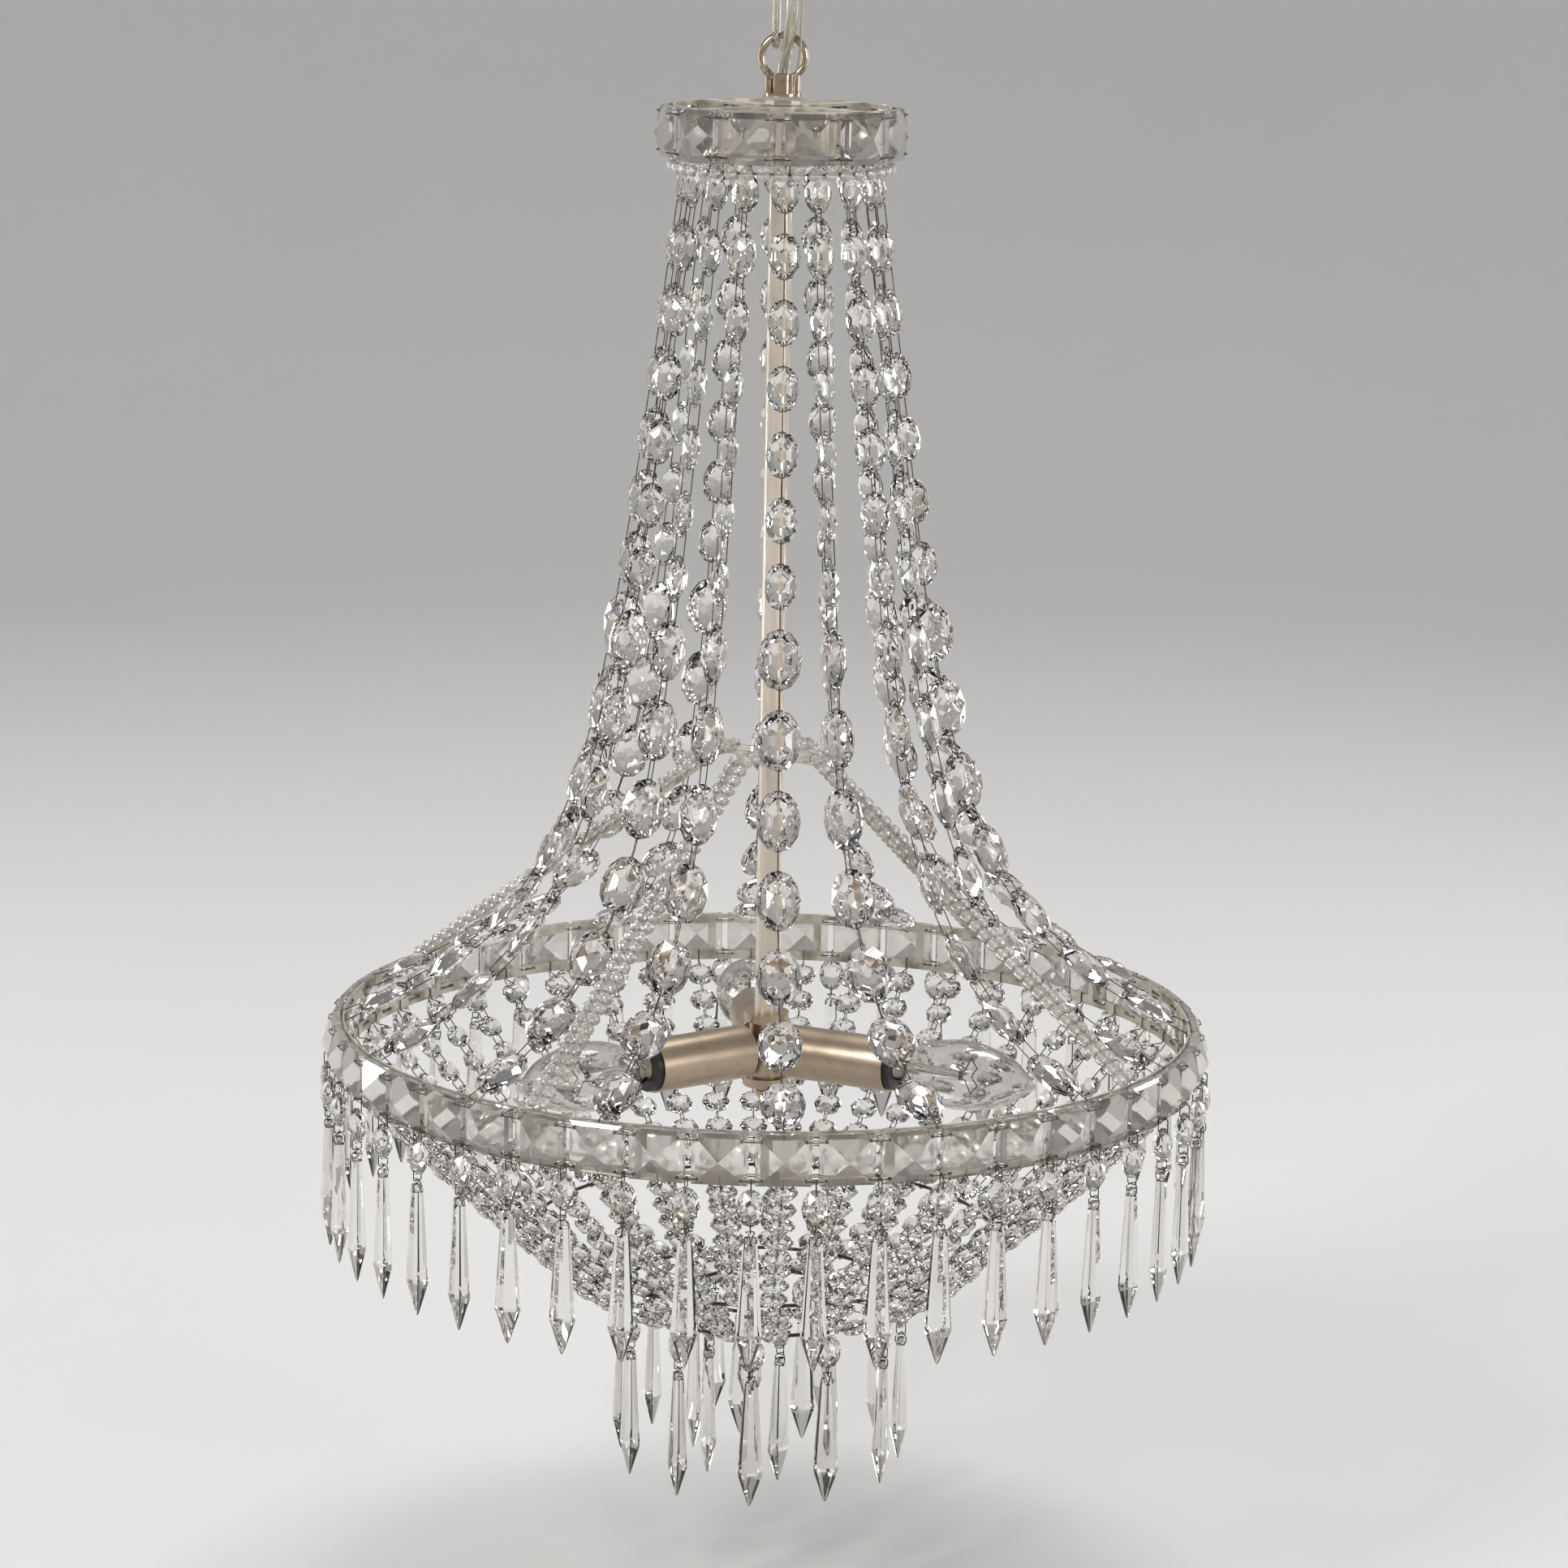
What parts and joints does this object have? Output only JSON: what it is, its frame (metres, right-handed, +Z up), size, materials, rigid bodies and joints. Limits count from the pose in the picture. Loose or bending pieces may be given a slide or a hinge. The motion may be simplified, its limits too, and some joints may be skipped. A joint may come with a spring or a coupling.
{
  "type": "crystal chandelier",
  "caption": "Beaded tent chandelier: crystal strands from a small crown to a crystal-edged ring with a beaded basket, hanging prisms and a lamp cluster on a stem.",
  "frame": {"origin": "the point inside the top of the hanging loop's eye that bears on its hook", "axes": "+Z up along the stem, -Y towards the front, +X to the viewer's right"},
  "size_m": [0.4003, 0.4005, 0.6846],
  "materials": {
    "crystal": "clear cut lead crystal, polished",
    "frame_metal": "worn cream-silver",
    "wire_metal": "dark brown aged wire",
    "stem_metal": "pale champagne, satin",
    "loop_metal": "polished bronze-nickel",
    "cover_metal": "brushed champagne-brown",
    "insert": "black moulded",
    "bulb_glass": "clear blown glass",
    "cord": "clear flexible sheath over tinned strands",
    "copper": "bare stranded copper",
    "fitting": "satin white"
  },
  "bodies": {
    "body": {"arm_beads": "crystal", "arm_frame": "wire_metal", "basket_beads": "crystal", "basket_hoops": "wire_metal", "ceiling_fitting": "fitting", "cluster_body": "cover_metal", "cluster_finial": "cover_metal", "crown_beads": "crystal", "crown_frame": "frame_metal", "crown_squares": "crystal", "crystal_links": "wire_metal", "drop_beads": "crystal", "frame_staples": "wire_metal", "ground_wire": "copper", "hanging_loop": "loop_metal", "lamp_cord": "cord", "large_ovals": "crystal", "loop_washer": "loop_metal", "ring_frame": "frame_metal", "ring_squares": "crystal", "small_ovals": "crystal", "socket_covers": "cover_metal", "socket_inserts": "insert", "stem_tube": "stem_metal", "support_cord": "cord"},
    "outer_prisms_01": {"outer_prisms_01": "crystal"},
    "outer_prisms_02": {"outer_prisms_02": "crystal"},
    "outer_prisms_03": {"outer_prisms_03": "crystal"},
    "outer_prisms_04": {"outer_prisms_04": "crystal"},
    "outer_prisms_05": {"outer_prisms_05": "crystal"},
    "outer_prisms_06": {"outer_prisms_06": "crystal"},
    "outer_prisms_07": {"outer_prisms_07": "crystal"},
    "outer_prisms_08": {"outer_prisms_08": "crystal"},
    "outer_prisms_09": {"outer_prisms_09": "crystal"},
    "outer_prisms_10": {"outer_prisms_10": "crystal"},
    "outer_prisms_11": {"outer_prisms_11": "crystal"},
    "outer_prisms_12": {"outer_prisms_12": "crystal"},
    "outer_prisms_13": {"outer_prisms_13": "crystal"},
    "outer_prisms_14": {"outer_prisms_14": "crystal"},
    "outer_prisms_15": {"outer_prisms_15": "crystal"},
    "outer_prisms_16": {"outer_prisms_16": "crystal"},
    "outer_prisms_17": {"outer_prisms_17": "crystal"},
    "outer_prisms_18": {"outer_prisms_18": "crystal"},
    "outer_prisms_19": {"outer_prisms_19": "crystal"},
    "outer_prisms_20": {"outer_prisms_20": "crystal"},
    "outer_prisms_21": {"outer_prisms_21": "crystal"},
    "outer_prisms_22": {"outer_prisms_22": "crystal"},
    "outer_prisms_23": {"outer_prisms_23": "crystal"},
    "lower_prisms_01": {"lower_prisms_01": "crystal"},
    "lower_prisms_02": {"lower_prisms_02": "crystal"},
    "lower_prisms_03": {"lower_prisms_03": "crystal"},
    "lower_prisms_04": {"lower_prisms_04": "crystal"},
    "lower_prisms_05": {"lower_prisms_05": "crystal"},
    "lower_prisms_06": {"lower_prisms_06": "crystal"},
    "inner_prisms_01": {"inner_prisms_01": "crystal"},
    "inner_prisms_02": {"inner_prisms_02": "crystal"},
    "inner_prisms_03": {"inner_prisms_03": "crystal"},
    "lamp_1": {"lamp_1": "bulb_glass"},
    "lamp_2": {"lamp_2": "bulb_glass"},
    "lamp_3": {"lamp_3": "bulb_glass"}
  },
  "joints": [
    {"name": "outer_prisms_01_swing", "type": "hinge", "parent": "body", "child": "outer_prisms_01", "pos_m": [0.00893, -0.19556, -0.47445], "axis": [-0.999, -0.0456, 0], "range_deg": [-40, 40]},
    {"name": "outer_prisms_02_swing", "type": "hinge", "parent": "body", "child": "outer_prisms_02", "pos_m": [0.06136, -0.1859, -0.47445], "axis": [-0.9496, -0.3134, 0], "range_deg": [-40, 40]},
    {"name": "outer_prisms_03_swing", "type": "hinge", "parent": "body", "child": "outer_prisms_03", "pos_m": [0.10924, -0.16246, -0.47445], "axis": [-0.8298, -0.558, 0], "range_deg": [-40, 40]},
    {"name": "outer_prisms_04_swing", "type": "hinge", "parent": "body", "child": "outer_prisms_04", "pos_m": [0.14902, -0.12696, -0.47445], "axis": [-0.6485, -0.7612, 0], "range_deg": [-40, 40]},
    {"name": "outer_prisms_05_swing", "type": "hinge", "parent": "body", "child": "outer_prisms_05", "pos_m": [0.17774, -0.08205, -0.47445], "axis": [-0.4191, -0.9079, 0], "range_deg": [-40, 40]},
    {"name": "outer_prisms_06_swing", "type": "hinge", "parent": "body", "child": "outer_prisms_06", "pos_m": [0.19329, -0.03105, -0.47445], "axis": [-0.1586, -0.9873, 0], "range_deg": [-40, 40]},
    {"name": "outer_prisms_07_swing", "type": "hinge", "parent": "body", "child": "outer_prisms_07", "pos_m": [0.1945, 0.02225, -0.47445], "axis": [0.1137, -0.9935, 0], "range_deg": [-40, 40]},
    {"name": "outer_prisms_08_swing", "type": "hinge", "parent": "body", "child": "outer_prisms_08", "pos_m": [0.18128, 0.0739, -0.47445], "axis": [0.3775, -0.926, 0], "range_deg": [-40, 40]},
    {"name": "outer_prisms_09_swing", "type": "hinge", "parent": "body", "child": "outer_prisms_09", "pos_m": [0.15462, 0.12007, -0.47445], "axis": [0.6133, -0.7898, 0], "range_deg": [-40, 40]},
    {"name": "outer_prisms_10_swing", "type": "hinge", "parent": "body", "child": "outer_prisms_10", "pos_m": [0.1165, 0.15733, -0.47445], "axis": [0.8037, -0.5951, 0], "range_deg": [-40, 40]},
    {"name": "outer_prisms_11_swing", "type": "hinge", "parent": "body", "child": "outer_prisms_11", "pos_m": [0.06973, 0.18293, -0.47445], "axis": [0.9344, -0.3562, 0], "range_deg": [-40, 40]},
    {"name": "outer_prisms_12_swing", "type": "hinge", "parent": "body", "child": "outer_prisms_12", "pos_m": [0.01779, 0.19496, -0.47445], "axis": [0.9959, -0.0909, 0], "range_deg": [-40, 40]},
    {"name": "outer_prisms_13_swing", "type": "hinge", "parent": "body", "child": "outer_prisms_13", "pos_m": [-0.03547, 0.19253, -0.47445], "axis": [0.9834, 0.1812, 0], "range_deg": [-40, 40]},
    {"name": "outer_prisms_14_swing", "type": "hinge", "parent": "body", "child": "outer_prisms_14", "pos_m": [-0.0861, 0.17582, -0.47445], "axis": [0.8981, 0.4398, 0], "range_deg": [-40, 40]},
    {"name": "outer_prisms_15_swing", "type": "hinge", "parent": "body", "child": "outer_prisms_15", "pos_m": [-0.13034, 0.14607, -0.47445], "axis": [0.7461, 0.6658, 0], "range_deg": [-40, 40]},
    {"name": "outer_prisms_16_swing", "type": "hinge", "parent": "body", "child": "outer_prisms_16", "pos_m": [-0.16492, 0.10549, -0.47445], "axis": [0.5388, 0.8424, 0], "range_deg": [-40, 40]},
    {"name": "outer_prisms_17_swing", "type": "hinge", "parent": "body", "child": "outer_prisms_17", "pos_m": [-0.18726, 0.05708, -0.47445], "axis": [0.2916, 0.9565, 0], "range_deg": [-40, 40]},
    {"name": "outer_prisms_18_swing", "type": "hinge", "parent": "body", "child": "outer_prisms_18", "pos_m": [-0.19572, 0.00444, -0.47445], "axis": [0.0227, 0.9997, 0], "range_deg": [-40, 40]},
    {"name": "outer_prisms_19_swing", "type": "hinge", "parent": "body", "child": "outer_prisms_19", "pos_m": [-0.18966, -0.04853, -0.47445], "axis": [-0.2479, 0.9688, 0], "range_deg": [-40, 40]},
    {"name": "outer_prisms_20_swing", "type": "hinge", "parent": "body", "child": "outer_prisms_20", "pos_m": [-0.16953, -0.0979, -0.47445], "axis": [-0.5001, 0.866, 0], "range_deg": [-40, 40]},
    {"name": "outer_prisms_21_swing", "type": "hinge", "parent": "body", "child": "outer_prisms_21", "pos_m": [-0.13683, -0.14001, -0.47445], "axis": [-0.7152, 0.699, 0], "range_deg": [-40, 40]},
    {"name": "outer_prisms_22_swing", "type": "hinge", "parent": "body", "child": "outer_prisms_22", "pos_m": [-0.09399, -0.17173, -0.47445], "axis": [-0.8772, 0.4801, 0], "range_deg": [-40, 40]},
    {"name": "outer_prisms_23_swing", "type": "hinge", "parent": "body", "child": "outer_prisms_23", "pos_m": [-0.04417, -0.19072, -0.47445], "axis": [-0.9742, 0.2256, 0], "range_deg": [-40, 40]},
    {"name": "lower_prisms_01_swing", "type": "hinge", "parent": "body", "child": "lower_prisms_01", "pos_m": [0.01323, -0.06019, -0.58325], "axis": [-0.9767, -0.2147, 0], "range_deg": [-10, 30]},
    {"name": "lower_prisms_02_swing", "type": "hinge", "parent": "body", "child": "lower_prisms_02", "pos_m": [0.05953, -0.01595, -0.58325], "axis": [-0.2587, -0.9659, 0], "range_deg": [-10, 30]},
    {"name": "lower_prisms_03_swing", "type": "hinge", "parent": "body", "child": "lower_prisms_03", "pos_m": [0.04154, 0.04552, -0.58325], "axis": [0.7386, -0.6741, 0], "range_deg": [-10, 30]},
    {"name": "lower_prisms_04_swing", "type": "hinge", "parent": "body", "child": "lower_prisms_04", "pos_m": [-0.01361, 0.06193, -0.58325], "axis": [0.9767, 0.2147, 0], "range_deg": [-10, 30]},
    {"name": "lower_prisms_05_swing", "type": "hinge", "parent": "body", "child": "lower_prisms_05", "pos_m": [-0.0568, 0.0239, -0.58325], "axis": [0.3879, 0.9217, 0], "range_deg": [-10, 30]},
    {"name": "lower_prisms_06_swing", "type": "hinge", "parent": "body", "child": "lower_prisms_06", "pos_m": [-0.04736, -0.03944, -0.58325], "axis": [-0.6399, 0.7684, 0], "range_deg": [-10, 30]},
    {"name": "inner_prisms_01_swing", "type": "hinge", "parent": "body", "child": "inner_prisms_01", "pos_m": [0.02019, -0.01843, -0.58325], "axis": [-0.6741, -0.7386, 0], "range_deg": [-15, 10]},
    {"name": "inner_prisms_02_swing", "type": "hinge", "parent": "body", "child": "inner_prisms_02", "pos_m": [0.00546, 0.02788, -0.58325], "axis": [0.9814, -0.1922, 0], "range_deg": [-15, 10]},
    {"name": "inner_prisms_03_swing", "type": "hinge", "parent": "body", "child": "inner_prisms_03", "pos_m": [-0.0267, -0.00587, -0.58325], "axis": [-0.2147, 0.9767, 0], "range_deg": [-15, 10]},
    {"name": "lamp_1_unscrew", "type": "slide", "parent": "body", "child": "lamp_1", "axis": [-0.8192, -0.5736, 0], "range_m": [0, 0.024]},
    {"name": "lamp_2_unscrew", "type": "slide", "parent": "body", "child": "lamp_2", "axis": [0.9063, -0.4226, 0], "range_m": [0, 0.024]},
    {"name": "lamp_3_unscrew", "type": "slide", "parent": "body", "child": "lamp_3", "axis": [-0.0872, 0.9962, 0], "range_m": [0, 0.024]}
  ]
}
